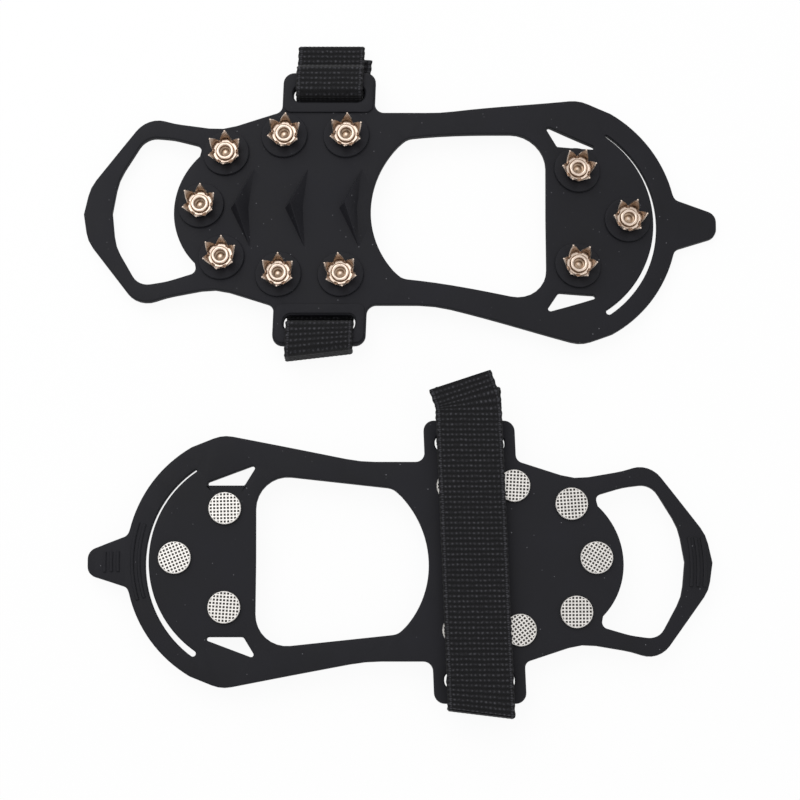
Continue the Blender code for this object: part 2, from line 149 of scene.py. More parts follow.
def rubberMaterial():
    # Compression-moulded thermoplastic rubber: deep matte blue-black, a fine satin grain and faint dust specks
    look = rubberLook
    material, tree, shader = newMaterial("mouldedRubber", **{"Specular IOR Level": look["specular"], "IOR": 1.5})
    spot = addNode(tree, "ShaderNodeTexCoord").outputs["Object"]
    cloud = addNode(tree, "ShaderNodeTexNoise", Vector=spot, Scale=1000 / look["cloud"], Detail=4.0,
                    Roughness=0.6).outputs["Fac"]
    grain = addNode(tree, "ShaderNodeTexNoise", Vector=spot, Scale=1000 / look["grain"], Detail=3.0).outputs["Fac"]
    stops = [(0.3, hexColour(look["base"])), (0.7, hexColour(look["pale"]))]
    body = addNode(tree, "ShaderNodeValToRGB", {"stops": stops}, in0=cloud)
    # dust: points in a cell pattern, each about a quarter of a millimetre, some brighter than others
    cells = addNode(tree, "ShaderNodeTexVoronoi", Vector=spot, Scale=1000 / look["dustSpacing"], Randomness=1.0)
    near = addNode(tree, "ShaderNodeMapRange", Value=cells.outputs["Distance"], in1=0.04, in2=0.09, in3=1.0, in4=0.0)
    chosen = addNode(tree, "ShaderNodeSeparateColor", in0=cells.outputs["Color"])
    bright = addNode(tree, "ShaderNodeMapRange", Value=chosen, in1=0.0, in2=look["dustShare"], in3=0.6, in4=0.0)
    dust = addNode(tree, "ShaderNodeMath", {"operation": "MULTIPLY"}, in0=near, in1=bright)
    mixed = addNode(tree, "ShaderNodeMix", {"data_type": "RGBA"}, in0=dust, in6=body, in7=hexColour(look["dust"]))
    tree.links.new(mixed.outputs[2], shader.inputs["Base Color"])
    rough = addNode(tree, "ShaderNodeMapRange", Value=cloud, in1=0.3, in2=0.7, in3=look["roughness"] - 0.05,
                    in4=look["roughness"] + 0.07)
    tree.links.new(rough.outputs[0], shader.inputs["Roughness"])
    bump = addNode(tree, "ShaderNodeBump", Strength=look["bump"], Distance=look["bumpHigh"], Height=grain)
    tree.links.new(bump.outputs[0], shader.inputs["Normal"])
    return material


# gap is the colour of the painted shade in the grooves, glint that of the painted highlights
webbingLook = {"yarn": "#151517", "glint": "#4e4e53", "grooveShade": "#050506", "ribPitch": 1.95, "dotPitch": 1.68,
               "twillPitch": 0.8, "edgePitch": 0.85, "edgeIn": 11.4, "sparkle": 0.12, "edgeShine": 0.5,
              "bump": 0.7, "bumpHigh": 0.00012, "roughness": 0.82}


def webbingMaterial():
    # Woven polypropylene webbing: near-black yarns with small uneven painted highlights where they cross over a rib,
    # and painted shade in the grooves between the ribs
    look = webbingLook
    material, tree, shader = newMaterial("wovenWebbing", **{
        "Roughness": look["roughness"], "Specular IOR Level": 0.15, "Sheen Weight": 0.06, "Sheen Roughness": 0.5})
    flat = addNode(tree, "ShaderNodeUVMap", {"uv_map": "cloth"}).outputs[0]
    # the yarns wander a little, so the rows aren't ruled
    wander = addNode(tree, "ShaderNodeTexNoise", Vector=flat, Scale=0.6, Detail=2.0).outputs["Color"]
    wander = addNode(tree, "ShaderNodeVectorMath", {"operation": "MULTIPLY_ADD"}, in0=wander, in1=(0.9, 0.7, 0.0),
                     in2=(-0.45, -0.35, 0.0)).outputs[0]
    loose = addNode(tree, "ShaderNodeVectorMath", {"operation": "ADD"}, in0=flat, in1=wander)
    parts = addNode(tree, "ShaderNodeSeparateXYZ", Vector=loose)
    across, along = parts.outputs[0], parts.outputs[1]
    slant = addNode(tree, "ShaderNodeMath", {"operation": "ADD"}, in0=across, in1=along)
    waves = {}
    for key, source, pitch in (("rib", along, look["ribPitch"]), ("dot", across, look["dotPitch"]),
                               ("twill", slant, look["twillPitch"]), ("bead", along, look["edgePitch"])):
        turns = addNode(tree, "ShaderNodeMath", {"operation": "MULTIPLY"}, in0=source, in1=2 * math.pi / pitch)
        turned = addNode(tree, "ShaderNodeMath", {"operation": "COSINE"}, in0=turns)
        waves[key] = addNode(tree, "ShaderNodeMath", {"operation": "MULTIPLY_ADD"}, in0=turned, in1=0.5, in2=0.5)
    patch = addNode(tree, "ShaderNodeTexNoise", Vector=flat, Scale=0.9, Detail=4.0, Roughness=0.7).outputs["Fac"]
    patch = addNode(tree, "ShaderNodeMapRange", Value=patch, in1=0.38, in2=0.64, in3=0.03, in4=1.0)
    fine = addNode(tree, "ShaderNodeTexNoise", Vector=flat, Scale=4.0, Detail=2.0).outputs["Fac"]
    rib = addNode(tree, "ShaderNodeMath", {"operation": "POWER"}, in0=waves["rib"], in1=3.0)
    dot = addNode(tree, "ShaderNodeMath", {"operation": "POWER"}, in0=waves["dot"], in1=1.3)
    glint = addNode(tree, "ShaderNodeMath", {"operation": "MULTIPLY"}, in0=rib, in1=dot)
    glint = addNode(tree, "ShaderNodeMath", {"operation": "MULTIPLY"}, in0=glint, in1=patch)
    # single filaments show as a faint slanting sparkle between the ribs
    sparkle = addNode(tree, "ShaderNodeMath", {"operation": "MULTIPLY"}, in0=waves["twill"], in1=fine)
    sparkle = addNode(tree, "ShaderNodeMath", {"operation": "MULTIPLY"}, in0=sparkle, in1=look["sparkle"])
    glint = addNode(tree, "ShaderNodeMath", {"operation": "MAXIMUM"}, in0=glint, in1=sparkle)
    # the selvedge: a tight row of beads a little in from each edge, shown as painted highlights
    side = addNode(tree, "ShaderNodeMath", {"operation": "ABSOLUTE"}, in0=across)
    inRow = addNode(tree, "ShaderNodeMath", {"operation": "COMPARE"}, in0=side, in1=look["edgeIn"], in2=0.35)
    beads = addNode(tree, "ShaderNodeMath", {"operation": "MULTIPLY"}, in0=inRow, in1=waves["bead"])
    beads = addNode(tree, "ShaderNodeMath", {"operation": "MULTIPLY"}, in0=beads, in1=look["edgeShine"])
    glint = addNode(tree, "ShaderNodeMath", {"operation": "MAXIMUM"}, in0=glint, in1=beads)
    # painted shade: low in the weave, between the ribs, the yarn colour turns near black
    weave = addNode(tree, "ShaderNodeMath", {"operation": "MULTIPLY"}, in0=waves["twill"], in1=0.25)
    depth = addNode(tree, "ShaderNodeMath", {"operation": "MULTIPLY_ADD"}, in0=waves["rib"], in1=0.65, in2=weave)
    stops = [(0.05, hexColour(look["grooveShade"])), (0.75, hexColour(look["yarn"]))]
    body = addNode(tree, "ShaderNodeValToRGB", {"stops": stops}, in0=depth)
    mixed = addNode(tree, "ShaderNodeMix", {"data_type": "RGBA"}, in0=glint, in6=body, in7=hexColour(look["glint"]))
    tree.links.new(mixed.outputs[2], shader.inputs["Base Color"])
    height = addNode(tree, "ShaderNodeMath", {"operation": "MULTIPLY_ADD"}, in0=waves["twill"], in1=0.5, in2=fine)
    bump = addNode(tree, "ShaderNodeBump", Strength=look["bump"], Distance=look["bumpHigh"], Height=height)
    tree.links.new(bump.outputs[0], shader.inputs["Normal"])
    return material


# deep is the colour of the painted shade, bright that of the painted highlight
nickelLook = {"bright": "#cdbcae", "warm": "#a08a76", "deep": "#2a1d13", "blotch": 1.6, "roughness": 0.3}


def nickelMaterial():
    # Nickel-plated pressed steel: painted highlights on the tips and edges, painted shade in warm brown down in the
    # folds and the bore
    look = nickelLook
    material, tree, shader = newMaterial("nickelPlatedSteel", Metallic=1.0)
    # a painted light-and-shade level stored on the mesh picks the colour
    height = addNode(tree, "ShaderNodeAttribute", {"attribute_name": "wear"}).outputs["Fac"]
    spot = addNode(tree, "ShaderNodeTexCoord").outputs["Object"]
    blotch = addNode(tree, "ShaderNodeTexNoise", Vector=spot, Scale=1000 / look["blotch"], Detail=3.0).outputs["Fac"]
    blend = addNode(tree, "ShaderNodeMath", {"operation": "MULTIPLY_ADD"}, in0=blotch, in1=0.5, in2=-0.25)
    level = addNode(tree, "ShaderNodeMath", {"operation": "ADD"}, in0=height, in1=blend)
    stops = [(0.12, hexColour(look["deep"])), (0.45, hexColour(look["warm"])), (0.85, hexColour(look["bright"]))]
    colour = addNode(tree, "ShaderNodeValToRGB", {"stops": stops}, in0=level)
    tree.links.new(colour.outputs[0], shader.inputs["Base Color"])
    rough = addNode(tree, "ShaderNodeMapRange", Value=blotch, in1=0.3, in2=0.7, in3=look["roughness"] - 0.06,
                    in4=look["roughness"] + 0.1)
    tree.links.new(rough.outputs[0], shader.inputs["Roughness"])
    return material


# pit is the colour of the painted shade in the knurl's pits
steelLook = {"bright": "#d2cfcb", "pit": "#3a3836", "frost": 2.2, "roughness": 0.34}


def steelMaterial():
    # Zinc-plated rivet steel: silvery and slightly frosted, with painted shade down in the pits of its knurl
    look = steelLook
    material, tree, shader = newMaterial("zincPlatedSteel", Metallic=1.0)
    height = addNode(tree, "ShaderNodeAttribute", {"attribute_name": "wear"}).outputs["Fac"]
    spot = addNode(tree, "ShaderNodeTexCoord").outputs["Object"]
    frost = addNode(tree, "ShaderNodeTexNoise", Vector=spot, Scale=1000 / look["frost"], Detail=4.0).outputs["Fac"]
    stops = [(0.1, hexColour(look["pit"])), (0.6, hexColour(look["bright"]))]
    colour = addNode(tree, "ShaderNodeValToRGB", {"stops": stops}, in0=height)
    tree.links.new(colour.outputs[0], shader.inputs["Base Color"])
    rough = addNode(tree, "ShaderNodeMapRange", Value=frost, in1=0.3, in2=0.7, in3=look["roughness"] - 0.08,
                    in4=look["roughness"] + 0.12)
    tree.links.new(rough.outputs[0], shader.inputs["Roughness"])
    return material


rubber = rubberMaterial()
webbing = webbingMaterial()
nickel = nickelMaterial()
steel = steelMaterial()
print("materials ready")


def rounded(corners, step=12.0):
    # a line through corners, each x, y and its fillet radius
    points = []
    for i, (x, y, radius) in enumerate(corners):
        here = Vector((x, y))
        if radius <= 0:
            points.append(here)
            continue
        back = (Vector(corners[i - 1][:2]) - here).normalized()
        ahead = (Vector(corners[(i + 1) % len(corners)][:2]) - here).normalized()
        half = back.angle(ahead) / 2
        turn = math.pi - 2 * half
        centre = here + (back + ahead).normalized() * radius / math.sin(half)
        start = here + back * radius / math.tan(half) - centre
        end = here + ahead * radius / math.tan(half) - centre
        pieces = max(2, round(math.degrees(turn) / step))
        for k in range(pieces + 1):
            share = k / pieces
            spoke = start * math.sin((1 - share) * turn) + end * math.sin(share * turn)
            points.append(centre + spoke / math.sin(turn))
    return points


def arcPoints(cx, radius, first, last, pieces):
    angles = [math.radians(first + (last - first) * k / pieces) for k in range(pieces + 1)]
    return [Vector((cx + radius * math.cos(a), radius * math.sin(a))) for a in angles]


def ringPoints(x, y, radius, count):
    return [p + Vector((x, y)) for p in arcPoints(0.0, radius, 0.0, 360.0 - 360.0 / count, count - 1)]


def mirrored(half):
    return half + [Vector((p.x, -p.y)) for p in reversed(half) if p.y > 1e-6]


def finish(name, bm, material, smoothAngle=35.0):
    bmesh.ops.remove_doubles(bm, verts=bm.verts, dist=1e-7)
    mesh = bpy.data.meshes.new(name)
    bm.to_mesh(mesh)
    bm.free()
    for face in mesh.polygons:
        face.use_smooth = True
    mesh.set_sharp_from_angle(angle=math.radians(smoothAngle))
    mesh.materials.append(material)
    piece = bpy.data.objects.new(name, mesh)
    bpy.context.scene.collection.objects.link(piece)
    return piece


rubberShape = {
    "thick": 2.6, "edge": 0.55, "edgeSteps": 4, "bossRadius": 8.6, "bossRise": 1.0, "bossEdge": 0.35,
    "holeRadius": 2.75, "padRise": 0.6, "padEdge": 0.25, "dartRise": 5.5, "dartX": (-63.3, -43.0, -22.7),
    "dartHalf": 15.6, "dartBack": 8.0, "dartFront": 6.6, "dartPeak": 2.3, "dartRound": 0.22,
    "slotNarrow": 0.8, "slotWide": 2.2, "slotRadius": 40.9, "rimRadius": 49.8, "heelCentre": 54.4,
    "toeSeam": -83.0, "heelSeam": 77.5, "ribHigh": 0.55, "ribWide": 0.75, "toeRibsX": (-116.2, -113.6, -111.0),
    "toeRibRadius": 62.0, "rimRibs": (44.6, 47.2), "tabRibsX": (107.2, 109.8, 112.4), "tabRibRadius": 60.0,
    "rowFrom": -118.0, "rowGap": 6.0,
}


def outerLine():
    s = rubberShape
    half = [(-119.3, 0.0, 0), (-117.3, 10.5, 14), (-96.5, 37.3, 10), (-86.0, 33.9, 40), (-67.6, 30.8, 22),
            (-45.7, 37.9, 3), (-45.7, 53.2, 4), (-10.9, 53.2, 4), (-10.9, 37.5, 3.5), (14.0, 37.5, 60),
            (67.5, 47.8, 13), (79.4, 43.07, 0)]
    line = rounded(half)
    root = math.degrees(math.asin(11.8 / s["rimRadius"]))
    first = math.degrees(math.acos((79.4 - s["heelCentre"]) / s["rimRadius"]))
    line += arcPoints(s["heelCentre"], s["rimRadius"], first, root, 16)[1:]
    rootX = s["heelCentre"] + s["rimRadius"] * math.cos(math.radians(root))
    line += rounded([(line[-1].x, line[-1].y, 0), (rootX + 0.8, 9.7, 3), (119.2, 4.4, 4.2), (119.2, 0.0, 0)])[1:]
    return mirrored(line)


def toeOpening():
    half = arcPoints(-56.0, 28.8, 180, 134, 14)
    half += rounded([(half[-1].x, half[-1].y, 0), (half[-1].x + 0.9, half[-1].y + 4.0, 2.4), (-86.0, 27.9, 30),
                     (-96.8, 29.3, 7), (-106.5, 13.0, 20), (-108.3, 0.0, 0)])[1:]
    return mirrored(half)


def midWindow():
    half = arcPoints(25.6, 36.5, 180, 138, 12)
    half += rounded([(half[-1].x, half[-1].y, 0), (half[-1].x + 3.2, 27.5, 6), (54.8, 33.2, 12), (54.6, 0.0, 0)])[1:]
    return mirrored(half)


def arcSlot():
    # The slot round the heel pad is pulled wider on one side than the other
    s = rubberShape
    ends = math.degrees(math.acos((s["heelSeam"] - s["heelCentre"]) / s["slotRadius"]))
    inner = arcPoints(s["heelCentre"], s["slotRadius"], ends, -ends, 36)
    outer = []
    for p in reversed(inner):
        out = p - Vector((s["heelCentre"], 0.0))
        share = 0.5 - 0.5 * p.y / (s["slotRadius"] * math.sin(math.radians(ends)))
        wide = s["slotNarrow"] + (s["slotWide"] - s["slotNarrow"]) * share * share
        outer.append(p + out.normalized() * wide)
    # both ends are rounded off
    line = []
    for first, last, side in ((inner[-1], outer[0], inner), (outer[-1], inner[0], outer)):
        line += side
        middle = (first + last) / 2
        spoke = first - middle
        for k in range(1, 6):
            turned = spoke.copy()
            turned.rotate(Matrix.Rotation(math.pi * k / 6, 2))
            line.append(middle + turned)
    return line


def addLoop(bm, points):
    verts = [bm.verts.new((p.x, p.y, 0.0)) for p in points]
    return [bm.edges.new((verts[k - 1], verts[k])) for k in range(len(verts))]


def fillLoops(bm, edges):
    made = bmesh.ops.triangle_fill(bm, use_beauty=True, use_dissolve=False, edges=edges, normal=(0.0, 0.0, 1.0))
    return [part for part in made["geom"] if isinstance(part, bmesh.types.BMFace)]


def roundRim(bm, faces, radius, steps, way):
    for k in range(steps):
        a = math.pi / 2 * k / steps
        b = math.pi / 2 * (k + 1) / steps
        bmesh.ops.inset_region(bm, faces=faces, thickness=radius * (math.cos(a) - math.cos(b)), depth=0.0,
                               use_boundary=True, use_even_offset=True)
        cap = {v for face in faces for v in face.verts}
        bmesh.ops.translate(bm, verts=list(cap), vec=(0.0, 0.0, way * radius * (math.sin(b) - math.sin(a))))


def raiseArea(bm, faces, rise, edge):
    made = bmesh.ops.extrude_face_region(bm, geom=faces)
    top = [part for part in made["geom"] if isinstance(part, bmesh.types.BMFace)]
    cap = {v for face in top for v in face.verts}
    bmesh.ops.translate(bm, verts=list(cap), vec=(0.0, 0.0, rise - edge))
    bmesh.ops.delete(bm, geom=[face for face in faces if face.is_valid], context="FACES_ONLY")
    roundRim(bm, top, edge, 3, 1.0)


def gripRib(bm, cx, cy, radius, first, last, steps):
    # a half-round rib on the foot side, spun about a point, with its ends closed
    s = rubberShape
    start = []
    for k in range(7):
        a = math.pi * k / 6
        height = 0.15 - s["ribHigh"] * math.sin(a) * 1.25
        start.append(bm.verts.new((cx + radius + s["ribWide"] * math.cos(a), cy, height)))
    edges = [bm.edges.new((start[k], start[(k + 1) % 7])) for k in range(7)]
    spun = bmesh.ops.spin(bm, geom=start + edges, cent=(cx, cy, 0.0), axis=(0.0, 0.0, 1.0),
                          angle=math.radians(last - first), steps=steps)
    ends = [e for e in spun["geom_last"] if isinstance(e, bmesh.types.BMEdge)]
    bmesh.ops.contextual_create(bm, geom=edges)
    bmesh.ops.contextual_create(bm, geom=ends)
    island = set(start)
    grow = list(start)
    while grow:
        v = grow.pop()
        for e in v.link_edges:
            other = e.other_vert(v)
            if other not in island:
                island.add(other)
                grow.append(other)
    bmesh.ops.rotate(bm, verts=list(island), cent=(cx, cy, 0.0), matrix=Matrix.Rotation(math.radians(first), 3, "Z"))
    faces = {f for v in island for f in v.link_faces}
    bmesh.ops.recalc_face_normals(bm, faces=list(faces))


def mouldedSheet():
    s = rubberShape
    bm = bmesh.new()
    sheet = addLoop(bm, outerLine()) + addLoop(bm, toeOpening()) + addLoop(bm, midWindow()) + addLoop(bm, arcSlot())
    for way in (1, -1):
        corners = rounded([(54.0, 36.8, 0.9), (76.6, 28.4, 0.8), (59.2, 28.4, 1.2)], 25)
        sheet += addLoop(bm, [Vector((p.x, way * p.y)) for p in corners])
    raised = []
    for x, y in studSpots:
        ring = addLoop(bm, ringPoints(x, y, s["bossRadius"], 56))
        hole = addLoop(bm, ringPoints(x, y, s["holeRadius"], 24))
        sheet += ring
        raised.append((ring + hole, s["bossRise"], s["bossEdge"]))
    for way in (1, -1):
        pad = rounded([(-44.9, 37.4, 2.5), (-11.7, 37.4, 2.5), (-11.7, 52.4, 3.2), (-44.9, 52.4, 3.2)])
        slot = rounded([(-41.6, 41.6, 2.6), (-15.0, 41.6, 2.6), (-15.0, 47.6, 2.6), (-41.6, 47.6, 2.6)])
        ring = addLoop(bm, [Vector((p.x, way * p.y)) for p in pad])
        hole = addLoop(bm, [Vector((p.x, way * p.y)) for p in slot])
        sheet += ring
        raised.append((ring + hole, s["padRise"], s["padEdge"]))
    darts = []
    for x in s["dartX"]:
        corners = [(0.0, 0.0), (s["dartBack"], -s["dartHalf"]), (s["dartFront"], 0.0), (s["dartBack"], s["dartHalf"])]
        loop = addLoop(bm, [Vector((x + along, across)) for along, across in corners])
        sheet += loop
        darts.append((x, loop))
    fillLoops(bm, sheet)
    mark = bm.faces.layers.int.new("area")
    for number, (edges, rise, edge) in enumerate(raised, 1):
        for face in fillLoops(bm, edges):
            face[mark] = number
    for number, (x, loop) in enumerate(darts, 101):
        for face in bmesh.ops.contextual_create(bm, geom=loop)["faces"]:
            face[mark] = number
    bmesh.ops.recalc_face_normals(bm, faces=bm.faces)
    if sum(face.normal.z for face in bm.faces) > 0:
        bmesh.ops.reverse_faces(bm, faces=bm.faces)
    foot = list(bm.faces)
    made = bmesh.ops.extrude_face_region(bm, geom=foot, use_keep_orig=True)
    top = [part for part in made["geom"] if isinstance(part, bmesh.types.BMFace)]
    bmesh.ops.translate(bm, verts=[part for part in made["geom"] if isinstance(part, bmesh.types.BMVert)],
                        vec=(0.0, 0.0, s["thick"] - 2 * s["edge"]))
    bmesh.ops.translate(bm, verts=bm.verts, vec=(0.0, 0.0, s["edge"]))
    for face in top:
        if face.normal.z < 0:
            face.normal_flip()
    roundRim(bm, foot, s["edge"], s["edgeSteps"], -1.0)
    roundRim(bm, top, s["edge"], s["edgeSteps"], 1.0)
    for number, (edges, rise, edge) in enumerate(raised, 1):
        raiseArea(bm, [face for face in top if face.is_valid and face[mark] == number], rise, edge)
    for number, (x, loop) in enumerate(darts, 101):
        floor = [face for face in top if face.is_valid and face[mark] == number]
        poked = bmesh.ops.poke(bm, faces=floor)
        for v in poked["verts"]:
            v.co = (x + s["dartPeak"], 0.0, s["thick"] + s["dartRise"])
            ridges = [e for e in v.link_edges if abs(e.other_vert(v).co.y) > 1.0]
        bmesh.ops.bevel(bm, geom=ridges, offset=s["dartRound"], segments=2, profile=0.5, affect="EDGES", material=-1)
    bmesh.ops.recalc_face_normals(bm, faces=bm.faces)
    # Grip ribs on the foot side: three on the toe loop's pull, two on the heel rim and three on the heel tab
    for x in s["toeRibsX"]:
        gripRib(bm, x + s["toeRibRadius"], 0.0, -s["toeRibRadius"], -8.6, 8.6, 14)
    for radius in s["rimRibs"]:
        gripRib(bm, s["heelCentre"], 0.0, radius, -18.0, 18.0, 22)
    for x in s["tabRibsX"]:
        gripRib(bm, x - s["tabRibRadius"], 0.0, s["tabRibRadius"], -3.6, 3.6, 6)
    # rows of edges across the sheet, closest at the two folds, let it sag and bend
    cuts = [s["rowFrom"] + s["rowGap"] * k for k in range(40)]
    cuts += [layout["toeFoldX"] - layout["toeFoldHalf"] + k for k in range(9)]
    cuts += [layout["heelFoldX"] - layout["heelFoldHalf"] + k for k in range(8)]
    cuts += [s["toeSeam"], s["heelSeam"]]
    for x in sorted(set(cuts)):
        geom = list(bm.verts) + list(bm.edges) + list(bm.faces)
        bmesh.ops.bisect_plane(bm, geom=geom, dist=1e-4, plane_co=(x, 0.0, 0.0), plane_no=(1.0, 0.0, 0.0))
    return bm


def partOf(face):
    s = rubberShape
    middle = face.calc_center_median()
    if middle.x < s["toeSeam"] and (abs(middle.y) > 25.0 or middle.x < -90.0):
        return "toe"
    if middle.x > s["heelSeam"] and math.hypot(middle.x - s["heelCentre"], middle.y) > s["slotRadius"] + 0.05:
        return "heel"
    return "mid"


def hingeLine(cleat, x):
    # the fold's middle and the unit vector across it, toward the heel
    level = rubberShape["thick"] / 2
    middle = place(cleat, (x, 0.0, level))
    line = place(cleat, (x, 10.0, level)) - place(cleat, (x, -10.0, level))
    line.z = 0.0
    across = line.normalized().cross(Vector((0.0, 0.0, 1.0)))
    toward = place(cleat, (x + 5.0, 0.0, level)) - middle
    return middle, across if across.dot(toward) > 0 else -across


sheetMesh = mouldedSheet()
print("rubber sheet moulded:", len(sheetMesh.faces), "faces")
for tag, cleat in cleats.items():
    for part in ("mid", "toe", "heel"):
        bm = sheetMesh.copy()
        bmesh.ops.delete(bm, geom=[face for face in bm.faces if partOf(face) != part], context="FACES")
        bmesh.ops.holes_fill(bm, edges=[edge for edge in bm.edges if edge.is_boundary], sides=0)
        for v in bm.verts:
            v.co = place(cleat, v.co)
        bmesh.ops.triangulate(bm, faces=[face for face in bm.faces if len(face.verts) > 4])
        piece = finish(f"cleat_{tag}_{part}_rubber", bm, rubber)
        if part == "mid":
            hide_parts(f"cleat_{tag}_frame")
            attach(piece, f"cleat_{tag}")
        elif part == "toe":
            middle, across = hingeLine(cleat, layout["toeFoldX"])
            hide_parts(f"cleat_{tag}_toe_loop")
            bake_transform(piece)
        else:
            middle, across = hingeLine(cleat, layout["heelFoldX"])
            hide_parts(f"cleat_{tag}_heel_band")
            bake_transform(piece)
sheetMesh.free()
print("rubber pieces laid out")


crownShape = {"spikes": 6, "bore": 2.8, "base": 4.85, "plate": 0.45, "tip": 6.5, "high": 4.8, "flareOut": 1.15,
              "valley": 0.12, "wall": 0.55, "stand": 3.9, "petal": 1.2, "star": 0.4, "ball": 0.4}
rivetShape = {"head": 6.1, "headThick": 0.9, "collar": -0.3, "flare": 3.35, "bore": 2.15, "shank": 2.6, "seat": 4.9,
              "flareHigh": 0.9, "knurl": 1.28, "pit": 0.33, "pitSlope": 0.14, "pitDeep": 0.24}


def spunProfile(bm, profile, steps):
    # spins a line of (radius, height) about the z axis into a skin
    verts = [bm.verts.new((r, 0.0, z)) for r, z in profile]
    edges = [bm.edges.new((verts[k], verts[k + 1])) for k in range(len(verts) - 1)]
    bmesh.ops.spin(bm, geom=verts + edges, cent=(0.0, 0.0, 0.0), axis=(0.0, 0.0, 1.0), angle=2 * math.pi,
                   steps=steps, use_merge=True)
    bmesh.ops.remove_doubles(bm, verts=bm.verts, dist=1e-4)


def crownMesh(turn):
    c = crownShape
    climbing = c["high"] - c["plate"]

    def coneRadius(t):
        return c["base"] + (c["tip"] - c["base"]) * t ** c["flareOut"]

    bm = bmesh.new()
    profile = [(c["bore"], 0.1), (3.5, 0.1), (3.62, 0.35), (4.0, 0.4)]
    rows = 8
    for k in range(rows + 1):
        t = k / rows
        profile.append((coneRadius(t), c["plate"] + climbing * t))
    steps = c["spikes"] * 12
    spunProfile(bm, profile, steps)
    for v in bm.verts:
        radius = math.hypot(v.co.x, v.co.y)
        if v.co.z <= c["plate"] + 0.01:
            continue
        angle = math.atan2(v.co.y, v.co.x)
        away = abs((angle * c["spikes"] / (2 * math.pi) + 0.5) % 1.0 - 0.5) * 2
        tooth = 1.0 - (1.0 - c["valley"]) * away ** c["petal"]
        t = (v.co.z - c["plate"]) / climbing * tooth
        newRadius = coneRadius(t) + c["star"] * (0.6 - away) * (1.0 - t)
        # a spike is flatter than the cone it is cut from, so its middle pulls in a little
        newRadius -= 0.35 * (1 - away) * math.sin(math.pi * min(1.0, t))
        v.co.x *= newRadius / radius
        v.co.y *= newRadius / radius
        v.co.z = c["plate"] + climbing * t
    bmesh.ops.recalc_face_normals(bm, faces=bm.faces)
    bmesh.ops.solidify(bm, geom=bm.faces, thickness=c["wall"])
    bmesh.ops.remove_doubles(bm, verts=bm.verts, dist=1e-3)
    bmesh.ops.recalc_face_normals(bm, faces=bm.faces)
    # painted light and shade: dark at the bore and inside the spikes near their roots, brighter up the spikes and on
    # the outside
    wear = bm.verts.layers.float.new("wear")
    for v in bm.verts:
        radius = math.hypot(v.co.x, v.co.y)
        climb = (v.co.z - 0.4) / c["high"]
        angle = math.atan2(v.co.y, v.co.x)
        away = abs((angle * c["spikes"] / (2 * math.pi) + 0.5) % 1.0 - 0.5) * 2
        inside = radius < coneRadius(max(0.0, climb)) - 0.12
        if radius < 3.6:
            v[wear] = 0.0
        elif v.co.z < 1.0 and radius < 5.1:
            v[wear] = 0.95
        elif inside:
            v[wear] = 0.22 + 0.78 * max(climb ** 2, 0.9 * away ** 2)
        else:
            v[wear] = 0.72 + 0.28 * climb
    # each spike ends in a small bead, coloured with a painted highlight
    for k in range(c["spikes"]):
        a = 2 * math.pi * k / c["spikes"]
        spot = Vector((math.cos(a) * (c["tip"] - 0.2), math.sin(a) * (c["tip"] - 0.2), c["high"] - 0.1))
        bead = bmesh.ops.create_icosphere(bm, subdivisions=2, radius=c["ball"], matrix=Matrix.Translation(spot))
        for v in bead["verts"]:
            v[wear] = 1.1
    bmesh.ops.rotate(bm, verts=bm.verts, cent=(0, 0, 0), matrix=Matrix.Rotation(turn, 3, "Z"))
    bmesh.ops.translate(bm, verts=bm.verts, vec=(0.0, 0.0, c["stand"]))
    return bm


